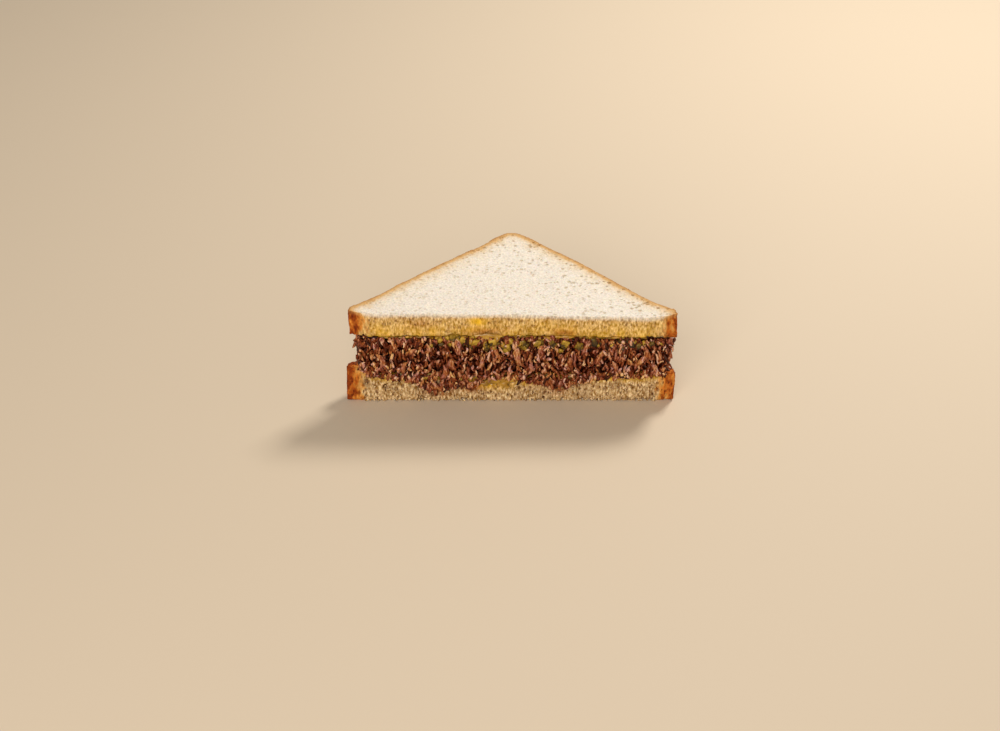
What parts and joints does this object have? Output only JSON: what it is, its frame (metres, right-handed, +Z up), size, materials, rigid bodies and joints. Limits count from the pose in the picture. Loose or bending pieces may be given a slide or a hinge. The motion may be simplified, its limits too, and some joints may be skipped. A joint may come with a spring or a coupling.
{
  "type": "sandwich half",
  "caption": "Triangular half of a closed white-bread sandwich, cut corner to corner, filled with minced beef, chopped pickle and mustard dressing that show along the cut face.",
  "frame": {"origin": "middle of the part's footprint, on the flat underside of the lower slice", "axes": "+X along the cut face to the right as seen from in front of it, +Y from the cut face to the apex where the crusts meet, +Z up"},
  "size_m": [0.15, 0.0802, 0.0477],
  "materials": {
    "white_bread": "soft crumb with fine pores, tan to golden-brown crust",
    "minced_beef": "moist and lightly glossy",
    "pickle_relish": "wet and glossy",
    "mustard_dressing": "smooth and glossy"
  },
  "bodies": {
    "root": {"bread_bottom": "white_bread", "bread_top": "white_bread", "minced_beef": "minced_beef", "pickle_relish": "pickle_relish", "dressing_lower": "mustard_dressing", "dressing_upper": "mustard_dressing"}
  },
  "joints": []
}
